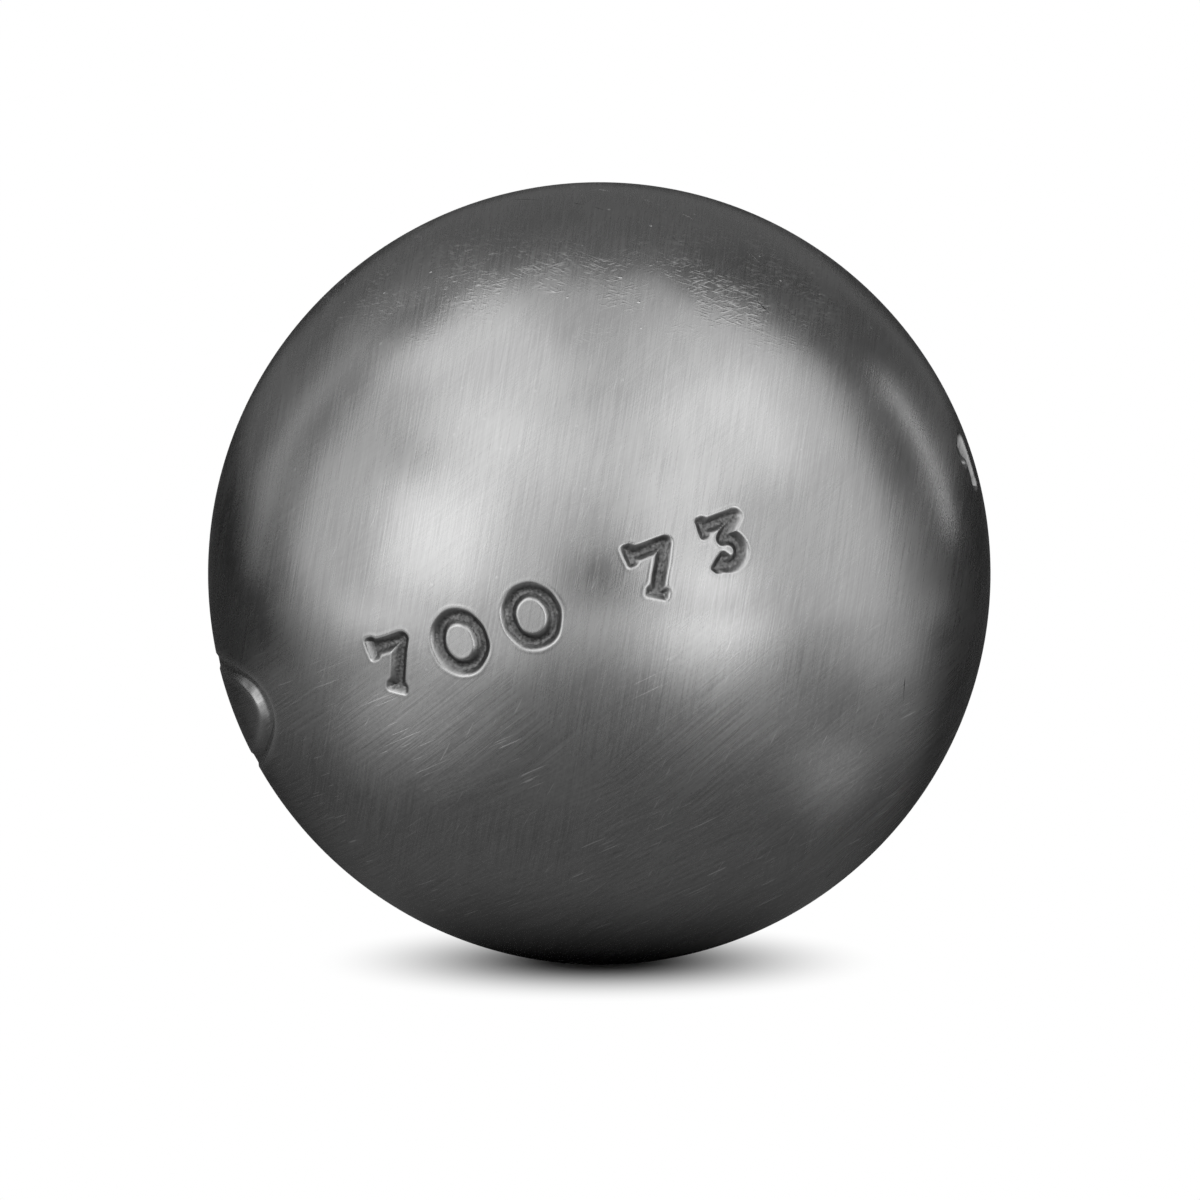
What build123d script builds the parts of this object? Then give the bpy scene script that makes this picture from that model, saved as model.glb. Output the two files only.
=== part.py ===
from build123d import *
import os
from math import atan2, degrees, radians, tan

# The hollow ball, in millimetres
BALL_DIAMETER = 73.0
WALL = 6.38

# The bevelled joint between the half shells and the weld metal in it
ROOT_WIDTH = 1.2
ROOT_FACE = 1.0
ROOT_PROUD = 0.5
BEVEL_ANGLE = 20.0

# How the ball lies on the ground, turned about its front-to-back and its left-to-right line
LIE_ROLL = -20.5
LIE_PITCH = -3.5

# Places round the marking circle, in degrees to the right of its front point
SEAM_TURN = 51.0
FRONT_TURN = -6.6
SIDE_TURN = 77.5
OVAL_TURN = -87.0

# How far the set number sits below the marking circle
SIDE_DROP = 2.0

# The stamped figures: weight in grams and diameter in front, number in the set at the side
FRONT_FIGURES = "700 73"
SIDE_FIGURES = "1"
FIGURE_HEIGHT = 6.2
FIGURE_WIDTH = 5.6
FIGURE_PITCH = 7.2
SPACE_SHARE = 0.65
STROKE_WIDTH = 1.5
STROKE_END = 2.1
END_LENGTH = 1.0
FIGURE_DEPTH = 0.7

# Corners of each figure's stroke, from end to end, in shares of its half width and half height
CORNERS = {
    "1": [(-0.9, 0.4), (0.5, 1.0), (0.5, -1.0)],
    "3": [(-1.0, 1.0), (0.9, 1.0), (-0.15, 0.25)],
    "7": [(-1.0, 1.0), (1.0, 1.0), (-0.3, -1.0)],
}

# Round stroke that carries on below the last corner of a figure: how far round it runs, in degrees
BOWLS = {"3": 235.0}

# The sunk oval: a channel round a bare field, struck by a die rounder than the ball, so deepest at its ends
OVAL_LENGTH = 34.4
OVAL_HEIGHT = 11.4
FIELD_LENGTH = 27.0
FIELD_HEIGHT = 8.4
DIE_DEPTH = 0.12
DIE_RADIUS = 31.6

# How far a cutting tool reaches past the surface that it cuts
OVERCUT = 2.0

outer_radius = BALL_DIAMETER / 2
inner_radius = outer_radius - WALL
floor_radius = outer_radius - FIGURE_DEPTH
half_root = ROOT_WIDTH / 2
lie = Rot(X=LIE_PITCH) * Rot(Y=LIE_ROLL)
seam = Rot(Z=SEAM_TURN) * Rot(Y=90)


def ball(radius):
    """Solid ball whose poles and seam line fall inside the welded joint."""
    return Rot(Z=SEAM_TURN - 90) * Sphere(radius)


def joint_ring(inner_edge):
    """Ring with the section of the joint: parallel root faces, then the two bevels."""
    bevel_start = inner_radius + ROOT_FACE
    reach = outer_radius + OVERCUT
    half_mouth = half_root + (reach - bevel_start) * tan(radians(BEVEL_ANGLE))
    sides = Polyline(
        inner_edge @ 1,
        (bevel_start, half_root),
        (reach, half_mouth),
        (reach, -half_mouth),
        (bevel_start, -half_root),
        inner_edge @ 0,
    )
    section = Plane.XZ * make_face(inner_edge.edges() + sides.edges())
    return seam * revolve(section, Axis.Z)


def joint_tool():
    """The joint's ring carried on into the hollow, to part the two half shells."""
    reach = inner_radius - OVERCUT
    return joint_ring(Line((reach, -half_root), (reach, half_root)))


def weld_bead():
    """Weld metal in the joint: proud and rounded inside, turned flush outside."""
    edge = (inner_radius ** 2 - half_root ** 2) ** 0.5
    proud = inner_radius - ROOT_PROUD
    root = ThreePointArc((edge, -half_root), (proud, 0), (edge, half_root))
    return joint_ring(root) & seam * Sphere(outer_radius)


def square_end(path, place):
    """Widened square end of a stroke, at one end of its path."""
    along = path % place
    turn = degrees(atan2(along.Y, along.X))
    return Pos(*(path @ place)) * Rot(Z=turn) * Rectangle(END_LENGTH, STROKE_END)


def ring_figure():
    """Sketch of the round figure, an oval ring as high and wide as the others."""
    width = FIGURE_WIDTH / 2
    height = FIGURE_HEIGHT / 2
    return Ellipse(width, height) - Ellipse(width - STROKE_WIDTH, height - STROKE_WIDTH)


def stroke_figure(digit):
    """Sketch of a figure made of one bent stroke, centred on its own middle."""
    side = (FIGURE_WIDTH - STROKE_END) / 2
    top = (FIGURE_HEIGHT - STROKE_END) / 2
    corners = [(x * side, y * top) for x, y in CORNERS[digit]]
    paths = [Line(start, end) for start, end in zip(corners, corners[1:])]
    if digit in BOWLS:
        across, height = corners[-1]
        radius = (height + top) / 2
        paths.append(CenterArc((across, height - radius), radius, 90, -BOWLS[digit]))
    sketch = square_end(paths[0], 0) + square_end(paths[-1], 1)
    for path in paths:
        sketch += trace(path, STROKE_WIDTH)
    for path in paths[1:]:
        sketch += Pos(*(path @ 0)) * Circle(STROKE_WIDTH / 2)
    return sketch


def on_circle(turn):
    """Place touching the ball at one turn of the marking circle, facing outward."""
    face = Plane(origin=(0, -outer_radius, 0), x_dir=(1, 0, 0), z_dir=(0, -1, 0))
    return Rot(Z=turn) * face.location


def figure_tools(text, turn, drop=0.0):
    """Cutting tools for a row of figures centred on or below one place of the marking circle."""
    steps = [SPACE_SHARE if digit == " " else 1.0 for digit in text]
    tools = []
    for index, digit in enumerate(text):
        if digit == " ":
            continue
        middle = sum(steps[:index]) + steps[index] / 2 - sum(steps) / 2
        place = on_circle(turn + degrees(middle * FIGURE_PITCH / outer_radius))
        sketch = ring_figure() if digit == "0" else stroke_figure(digit)
        prism = place * Pos(Y=-drop) * extrude(sketch, amount=OVERCUT, both=True)
        tools.append(prism - ball(floor_radius))
    return tools


def oval_plug(length, height):
    """Oval cone through the outer skin of the wall, pointing at the middle of the ball."""
    sections = []
    for level in (inner_radius, outer_radius + OVERCUT):
        share = level / outer_radius / 2
        oval = Ellipse(length * share, height * share)
        sections.append(Pos(Z=level - outer_radius) * oval)
    return on_circle(OVAL_TURN) * loft(sections, ruled=True)


def oval_tool():
    """Cutting tool for the channel round the bare oval field."""
    field = oval_plug(FIELD_LENGTH, FIELD_HEIGHT)
    die = on_circle(OVAL_TURN) * Pos(Z=-DIE_DEPTH - DIE_RADIUS) * Sphere(DIE_RADIUS)
    return oval_plug(OVAL_LENGTH, OVAL_HEIGHT) - field - die


def half_shells():
    """The two pressed half shells, stamped, front one first."""
    shell = ball(outer_radius) - ball(inner_radius) - joint_tool()
    rearward = Axis.Z.located(seam).direction
    front, rear = sorted(shell.solids(), key=lambda half: half.center().dot(rearward))
    for tool in figure_tools(FRONT_FIGURES, FRONT_TURN) + [oval_tool()]:
        front -= tool
    for tool in figure_tools(SIDE_FIGURES, SIDE_TURN, SIDE_DROP):
        rear -= tool
    return front, rear


def main():
    """Build each piece, lay the ball down and write one file per piece."""
    front, rear = half_shells()
    pieces = {
        "front_half_shell": front,
        "rear_half_shell": rear,
        "weld_bead": weld_bead(),
    }
    os.makedirs("parts", exist_ok=True)
    for node, piece in pieces.items():
        export_step(lie * piece, f"parts/{node}.step")


main()
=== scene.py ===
"""Petanque boule: a hollow steel ball, stamped, welded, turned and brushed, on a pale studio floor."""

import logging
import math
from dataclasses import dataclass
from enum import Enum
from typing import Any, Callable, Sequence

import bpy
import numpy as np
from mathutils import Euler, Matrix, Vector


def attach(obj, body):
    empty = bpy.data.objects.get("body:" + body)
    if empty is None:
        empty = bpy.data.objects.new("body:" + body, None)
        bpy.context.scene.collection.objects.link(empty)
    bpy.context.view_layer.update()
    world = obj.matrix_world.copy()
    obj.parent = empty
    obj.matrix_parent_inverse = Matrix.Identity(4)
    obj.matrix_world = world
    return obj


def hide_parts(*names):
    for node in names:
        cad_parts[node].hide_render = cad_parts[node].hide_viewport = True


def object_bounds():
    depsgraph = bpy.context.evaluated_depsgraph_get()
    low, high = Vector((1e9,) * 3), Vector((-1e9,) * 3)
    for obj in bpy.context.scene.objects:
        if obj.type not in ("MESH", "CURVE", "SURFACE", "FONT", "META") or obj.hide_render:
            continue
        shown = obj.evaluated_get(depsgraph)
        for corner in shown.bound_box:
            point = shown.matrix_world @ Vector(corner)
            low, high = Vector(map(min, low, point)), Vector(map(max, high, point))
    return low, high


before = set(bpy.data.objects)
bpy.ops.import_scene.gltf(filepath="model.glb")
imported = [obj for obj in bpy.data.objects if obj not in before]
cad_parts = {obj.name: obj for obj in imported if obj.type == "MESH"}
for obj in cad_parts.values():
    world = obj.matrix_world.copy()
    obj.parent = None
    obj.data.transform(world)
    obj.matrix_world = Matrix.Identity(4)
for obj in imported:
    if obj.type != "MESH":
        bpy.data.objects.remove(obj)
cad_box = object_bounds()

LOG = logging.getLogger("boule")
MM = 0.001
BODY = "root"
PHOTO_SIDE = 1200
NOISE_MIDDLE = 0.5
TINY = 1e-9

# Waves of the slow swing over the ball: turns along x, y and z in millimetres, and where each starts
SWING_WAVES = np.array([[2.3, 0.0, 1.1], [0.0, -2.7, 1.9], [1.3, 0.0, -3.1]])
SWING_STARTS = np.array([0.0, 1.0, 2.0])

# How far a point of plain skin may lie off its radius, and how squarely its corners face outwards
SKIN_GAP = 0.02 * MM
SKIN_FACING = 0.9

Field = np.ndarray
Pair = tuple[float, float]
Triple = tuple[float, float, float]


class Side(Enum):
    """The half of the ball that a shell makes, as its sign along the weld's axis."""

    FRONT = -1
    REAR = 1


class Pick(Enum):
    """What is selected in edit mode, by the name of the select mode."""

    POINTS = "VERT"
    EDGES = "EDGE"
    FACES = "FACE"


class RayKind(Enum):
    """Rays that see a studio card, by the name of the object's own switch."""

    CAMERA = "visible_camera"
    DIFFUSE = "visible_diffuse"
    SHADOW = "visible_shadow"
    GLOSSY = "visible_glossy"
    TRANSMISSION = "visible_transmission"


class Value:
    """A shader socket that takes part in Python arithmetic."""

    def __init__(self, graph: "Graph", socket: bpy.types.NodeSocket) -> None:
        """Wrap one output socket of a graph."""
        self.graph = graph
        self.socket = socket

    def math(self, operation: str, *others: "Value | float", first: bool = True) -> "Value":
        """Add a Math node.

        Args:
            operation: Name of the node's operation.
            others: The other operands, as sockets or numbers.
            first: Whether this value is the first operand.

        Returns:
            The result of the operation.
        """
        operands = [self, *others] if first else [*others, self]
        return self.graph.node("ShaderNodeMath", {"operation": operation}, dict(enumerate(operands)))

    def __add__(self, other: "Value | float") -> "Value":
        """Sum of two values."""
        return self.math("ADD", other)

    def __sub__(self, other: "Value | float") -> "Value":
        """Difference of two values."""
        return self.math("SUBTRACT", other)

    def __rsub__(self, other: float) -> "Value":
        """A number less this value."""
        return self.math("SUBTRACT", other, first=False)

    def __mul__(self, other: "Value | float") -> "Value":
        """Product of two values."""
        return self.math("MULTIPLY", other)

    __radd__ = __add__
    __rmul__ = __mul__

    def above(self, low: float, high: float) -> "Value":
        """Smooth step from 0 at low to 1 at high."""
        inputs = {"Value": self, "From Min": low, "From Max": high}
        return self.graph.node("ShaderNodeMapRange", {"interpolation_type": "SMOOTHSTEP"}, inputs)

    def limited(self) -> "Value":
        """The value held between 0 and 1."""
        return self.math("MINIMUM", 1.0).math("MAXIMUM", 0.0)

    def between(self, first: float, last: float) -> "Value":
        """What goes from a first to a last number as this value goes from 0 to 1."""
        return first + (last - first) * self

    def toward(self, other: "Value | float", share: "Value") -> "Value":
        """This value drawn towards another by a share from 0 to 1."""
        return self * (1 - share) + other * share


class Graph:
    """The nodes of one material or world."""

    def __init__(self, tree: bpy.types.NodeTree) -> None:
        """Start from an empty node tree."""
        self.tree = tree
        tree.nodes.clear()

    def node(
        self,
        kind: str,
        settings: dict[str, Any] | None = None,
        inputs: dict[Any, Any] | None = None,
        output: str | int = 0,
    ) -> Value:
        """Add a node.

        Args:
            kind: The node's type.
            settings: The node's own properties, set before its sockets.
            inputs: Numbers, colours or other values, by socket name or index.
            output: Name or index of the output that is wanted.

        Returns:
            That output.
        """
        made = self.tree.nodes.new(kind)
        for name, setting in (settings or {}).items():
            setattr(made, name, setting)
        for name, given in (inputs or {}).items():
            if isinstance(given, Value):
                self.tree.links.new(given.socket, made.inputs[name])
            else:
                made.inputs[name].default_value = given
        return Value(self, made.outputs[output])

    def moved(self, place: Value, shift: float) -> Value:
        """Place moved by one shift along each axis, to tell patterns apart."""
        return self.node("ShaderNodeVectorMath", {"operation": "ADD"}, {0: place, 1: (shift,) * 3})

    def noise(self, place: Value, scale: float, detail: float) -> Value:
        """Soft random pattern from 0 to 1, by its spots in one unit of place and its finer layers."""
        inputs = {"Vector": place, "Scale": scale, "Detail": detail}
        return self.node("ShaderNodeTexNoise", None, inputs)

    def grey(self, tone: Value) -> Value:
        """Grey of the given tone."""
        inputs = {0: tone, 6: (0, 0, 0, 1), 7: (1, 1, 1, 1)}
        return self.node("ShaderNodeMix", {"data_type": "RGBA"}, inputs, output=2)

    def distance(self, middle: Triple) -> Value:
        """Distance from a point, in the object's own axes."""
        inputs = {0: self.node("ShaderNodeTexCoord", output="Object"), 1: middle}
        return self.node("ShaderNodeVectorMath", {"operation": "DISTANCE"}, inputs, output="Value")

    def seen_rays(self) -> Value:
        """Tell rays that show the surroundings, in the picture or in a shine, from the rest.

        Returns:
            1 for those rays and 0 for the rest.
        """
        kinds = ("Is Camera Ray", "Is Glossy Ray", "Is Transmission Ray")
        camera, glossy, clear = (self.node("ShaderNodeLightPath", output=kind) for kind in kinds)
        return (camera + glossy + clear).limited()

    def finish(self, kind: str, shader: Value) -> None:
        """Link a shader to the tree's output node."""
        made = self.tree.nodes.new(kind)
        self.tree.links.new(shader.socket, made.inputs["Surface"])


class Bench:
    """The modelling moves that every piece shares."""

    LEAST_WEIGHT = 0.001

    @staticmethod
    def clear() -> None:
        """Deselect every object."""
        bpy.ops.object.select_all(action="DESELECT")

    @staticmethod
    def take(*objects: bpy.types.Object) -> None:
        """Select objects alone.

        Args:
            objects: The objects, of which the first becomes active.
        """
        Bench.clear()
        for obj in objects:
            obj.select_set(True)
        bpy.context.view_layer.objects.active = objects[0]

    @staticmethod
    def edit(obj: bpy.types.Object, pick: Pick) -> None:
        """Open an object's mesh in edit mode with nothing selected.

        Args:
            obj: The object.
            pick: What is selected from then on.
        """
        Bench.take(obj)
        bpy.ops.object.mode_set(mode="EDIT")
        bpy.ops.mesh.select_mode(type=pick.value)
        bpy.ops.mesh.select_all(action="DESELECT")

    @staticmethod
    def close() -> None:
        """Leave edit mode."""
        bpy.ops.object.mode_set(mode="OBJECT")

    @staticmethod
    def mark(obj: bpy.types.Object, pick: Pick, chosen: Field) -> None:
        """Open an object's mesh in edit mode with some of it selected.

        Args:
            obj: The object.
            pick: What is selected, points or faces.
            chosen: Whether each of them is selected.
        """
        Bench.edit(obj, pick)
        Bench.close()
        items = obj.data.polygons if pick is Pick.FACES else obj.data.vertices
        items.foreach_set("select", chosen)
        bpy.ops.object.mode_set(mode="EDIT")

    @staticmethod
    def pick_rims() -> None:
        """Select the open edges of the mesh that is in edit mode, and nothing else."""
        bpy.ops.mesh.select_non_manifold(
            extend=False, use_wire=False, use_multi_face=False, use_non_contiguous=False, use_verts=False)

    @staticmethod
    def bridge_rims(obj: bpy.types.Object) -> None:
        """Close a mesh between its two open rims and turn its faces outwards.

        Args:
            obj: The object.
        """
        Bench.edit(obj, Pick.EDGES)
        Bench.pick_rims()
        bpy.ops.mesh.bridge_edge_loops()
        bpy.ops.mesh.select_all(action="SELECT")
        bpy.ops.mesh.normals_make_consistent(inside=False)
        Bench.close()

    @staticmethod
    def rows(items: Any, name: str) -> Field:
        """Read a vector of each item of a mesh.

        Args:
            items: The mesh's points, faces or corners.
            name: Name of the vector.

        Returns:
            One row for each item.
        """
        flat = np.empty(len(items) * 3)
        items.foreach_get(name, flat)
        return flat.reshape(-1, 3)

    @staticmethod
    def points(mesh: bpy.types.Mesh) -> Field:
        """Places of a mesh's points, one row each."""
        return Bench.rows(mesh.vertices, "co")

    @staticmethod
    def middles(mesh: bpy.types.Mesh) -> Field:
        """Middles of a mesh's faces, one row each."""
        return Bench.rows(mesh.polygons, "center")

    @staticmethod
    def weigh(obj: bpy.types.Object, name: str, weights: Field) -> None:
        """Store weights as a vertex group.

        Args:
            obj: The object.
            name: Name of the group.
            weights: One weight from 0 to 1 for each point.
        """
        group = obj.vertex_groups.new(name=name)
        for index in np.flatnonzero(weights > Bench.LEAST_WEIGHT):
            group.add([int(index)], float(weights[index]), "REPLACE")

    @staticmethod
    def paint(obj: bpy.types.Object, name: str, weights: Field) -> None:
        """Store weights as an attribute that a material can read."""
        layer = obj.data.attributes.new(name, "FLOAT", "POINT")
        layer.data.foreach_set("value", weights.astype(np.float32))

    @staticmethod
    def modify(obj: bpy.types.Object, kind: str, **settings: Any) -> None:
        """Add a modifier and apply it.

        Args:
            obj: The object.
            kind: The modifier's type.
            settings: The modifier's own properties.
        """
        Bench.take(obj)
        made = obj.modifiers.new(kind.title(), kind)
        for name, setting in settings.items():
            setattr(made, name, setting)
        bpy.ops.object.modifier_apply(modifier=made.name)

    @staticmethod
    def round_out(obj: bpy.types.Object, radius: float) -> None:
        """Move every point of an object on to a ball about the origin."""
        Bench.modify(obj, "CAST", cast_type="SPHERE", factor=1.0, size=radius, radius=0.0,
                     use_radius_as_size=False)

    @staticmethod
    def lay(obj: bpy.types.Object, turn: Matrix) -> None:
        """Turn an object and move the turn into its mesh.

        Args:
            obj: The object.
            turn: The turn about the origin.
        """
        Bench.take(obj)
        obj.matrix_world = turn @ obj.matrix_world
        bpy.ops.object.transform_apply(location=True, rotation=True, scale=True)


@dataclass(frozen=True)
class Ball:
    """Sizes of the hollow ball and of its welded joint, in metres and degrees."""

    radius: float
    wall: float = 6.38 * MM
    root_width: float = 1.2 * MM
    root_face: float = 1.0 * MM
    root_proud: float = 0.5 * MM
    bevel_angle: float = 20.0
    lie_roll: float = -20.5
    lie_pitch: float = -3.5
    seam_turn: float = 51.0

    def lie(self) -> Matrix:
        """Turn from the ball's own axes to how it lies on the ground."""
        roll = Matrix.Rotation(math.radians(self.lie_roll), 4, "Y")
        return Matrix.Rotation(math.radians(self.lie_pitch), 4, "X") @ roll

    def seam(self) -> Matrix:
        """Turn from the weld's axis, upright, to where it is in the ball."""
        upright = Matrix.Rotation(math.radians(90), 4, "Y")
        return Matrix.Rotation(math.radians(self.seam_turn), 4, "Z") @ upright

    def axis(self) -> Vector:
        """Direction of the weld's axis in the ball, towards the rear half."""
        return (self.seam() @ Vector((0, 0, 1, 0))).to_3d()

    def inner(self) -> float:
        """Radius of the hollow."""
        return self.radius - self.wall

    def half_root(self) -> float:
        """Half the gap between the two rims at the hollow."""
        return self.root_width / 2

    def root_edge(self) -> float:
        """Radius about the weld's axis at which a rim starts, at the hollow."""
        return math.sqrt(self.inner() ** 2 - self.half_root() ** 2)

    def bevel_start(self) -> float:
        """Radius at which the rims start to open outwards."""
        return self.inner() + self.root_face

    def mouth(self) -> float:
        """Find where a rim's bevel meets the ball's skin.

        Returns:
            The distance of that place from the middle of the weld.
        """
        slope = math.tan(math.radians(self.bevel_angle))
        shift = self.half_root() - self.bevel_start() * slope
        square = 1 + slope ** 2
        root = math.sqrt((shift * slope) ** 2 - square * (shift ** 2 - self.radius ** 2))
        reach = (root - shift * slope) / square
        return shift + reach * slope


@dataclass(frozen=True)
class StampEdge:
    """Section of a stamped mark across its edge, in metres; distances grow away from the mark."""

    wall: float
    shoulder: float
    floor_ease: float
    lip_height: float
    # Peak share of the edge worn bright and partly painted bright as a highlight
    rub_highlight_share: float
    # Share of the groove made duller and painted darker as shade, growing with its depth
    dullness_and_shade: float
    shoulder_ease: float = 0.2
    lip_place: float = 0.20 * MM
    lip_width: float = 0.12 * MM
    rub_highlight_width: float = 0.07 * MM

    def sink(self, distance: Field) -> Field:
        """Section of the wall, rounded at the shoulder and where it meets the floor.

        Args:
            distance: Distances from the mark's edge.

        Returns:
            The share of the full depth at each distance.
        """
        share = np.clip((self.shoulder - distance) / (self.shoulder + self.wall), 0, 1)
        start, stop = self.shoulder_ease, 1 - self.floor_ease
        full = (1 + stop - start) / 2
        into = np.minimum(share, start) ** 2 / (2 * start)
        along = np.clip(share, start, stop) - start
        out = np.maximum(share, stop) - stop
        return (into + along + out - out ** 2 / (2 * self.floor_ease)) / full

    def lip(self, distance: Field) -> Field:
        """Height of the lip that the stamp has raised round the mark."""
        return self.lip_height * np.exp(-(((distance - self.lip_place) / self.lip_width) ** 2))

    def rub_and_highlight(self, distance: Field) -> Field:
        """Share of bright worn metal along the edge, partly a painted highlight."""
        return self.rub_highlight_share * np.exp(-(((distance - self.shoulder / 2) / self.rub_highlight_width) ** 2))


@dataclass(frozen=True)
class Bar:
    """Straight stroke of a figure."""

    start: Pair
    end: Pair

    def distance(self, x: Field, y: Field) -> Field:
        """Distance from the stroke's middle line.

        Args:
            x: Places across the figure.
            y: Places up the figure.

        Returns:
            One distance for each place.
        """
        across, up = x - self.start[0], y - self.start[1]
        run, rise = self.end[0] - self.start[0], self.end[1] - self.start[1]
        share = np.clip((across * run + up * rise) / (run ** 2 + rise ** 2), 0, 1)
        return np.hypot(across - share * run, up - share * rise)


@dataclass(frozen=True)
class Bow:
    """Round stroke of a figure, clockwise from its top, in metres and degrees."""

    centre: Pair
    radius: float
    sweep: float

    def distance(self, x: Field, y: Field) -> Field:
        """Distance from the stroke's middle line.

        Args:
            x: Places across the figure.
            y: Places up the figure.

        Returns:
            One distance for each place.
        """
        across, up = x - self.centre[0], y - self.centre[1]
        turn = np.degrees(np.arctan2(across, up)) % 360
        arc = np.abs(np.hypot(across, up) - self.radius)
        tips = [np.hypot(x - px, y - py) for px, py in (self.point(0.0), self.point(self.sweep))]
        return np.where(turn <= self.sweep, arc, np.minimum(*tips))

    def point(self, turn: float) -> Pair:
        """Place on the stroke's middle line, by its turn from the top."""
        across, up = math.sin(math.radians(turn)), math.cos(math.radians(turn))
        return self.centre[0] + self.radius * across, self.centre[1] + self.radius * up


@dataclass(frozen=True)
class Foot:
    """Widened square end of a stroke, in metres."""

    middle: Pair
    along: Pair
    length: float
    width: float
    corner: float = 0.38 * MM

    def distance(self, x: Field, y: Field) -> Field:
        """Distance from the foot's edge.

        Args:
            x: Places across the figure.
            y: Places up the figure.

        Returns:
            One distance for each place, below 0 inside it.
        """
        across, up = x - self.middle[0], y - self.middle[1]
        size = math.hypot(*self.along)
        along = np.abs(across * self.along[0] + up * self.along[1]) / size - self.length / 2 + self.corner
        aside = np.abs(up * self.along[0] - across * self.along[1]) / size - self.width / 2 + self.corner
        outside = np.hypot(np.maximum(along, 0), np.maximum(aside, 0))
        return outside + np.minimum(np.maximum(along, aside), 0) - self.corner


def joined(first: Field, second: Field, ease: float) -> Field:
    """Distance from two shapes at once, rounded where they meet.

    Args:
        first: Distance from the one shape.
        second: Distance from the other shape.
        ease: Size of the rounding.

    Returns:
        The distance from both together.
    """
    mix = np.clip(0.5 + (second - first) / (2 * ease), 0, 1)
    return second * (1 - mix) + first * mix - ease * mix * (1 - mix)


def oval_distance(x: Field, y: Field, half_width: float, half_height: float) -> Field:
    """Distance from an oval's edge, below 0 inside it.

    Args:
        x: Places along the oval.
        y: Places across the oval.
        half_width: Half its size along x.
        half_height: Half its size along y.

    Returns:
        The distance, close to true near the edge.
    """
    level = np.hypot(x / half_width, y / half_height)
    slope = np.hypot(x / half_width ** 2, y / half_height ** 2)
    return (level - 1) * level / np.maximum(slope, TINY)


def swing(points: Field, size: float) -> Field:
    """Slow uneven swing over the ball, as hand work leaves it, from -size to size."""
    waves = points / MM @ SWING_WAVES.T + SWING_STARTS
    return size * np.sin(waves).mean(axis=1)


@dataclass(frozen=True, kw_only=True)
class Mark:
    """Mark stamped into the ball's marking circle, in metres and degrees."""

    turn: float
    edge: StampEdge
    refine: tuple[float, ...]

    @staticmethod
    def facing(points: Field, turn: float) -> tuple[Field, Field]:
        """Places of points as seen from outside the ball.

        Args:
            points: Places in the ball's own axes.
            turn: Where the ball is looked at, in radians round the marking circle.

        Returns:
            The places to the right of that view and towards it.
        """
        across = points[:, 0] * math.cos(turn) + points[:, 1] * math.sin(turn)
        out = points[:, 0] * math.sin(turn) - points[:, 1] * math.cos(turn)
        return across, out

    def wall_share(self, points: Field, radius: float) -> Field:
        """Share of the wall's full width at each of the ball's points."""
        return np.ones(len(points))


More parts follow.
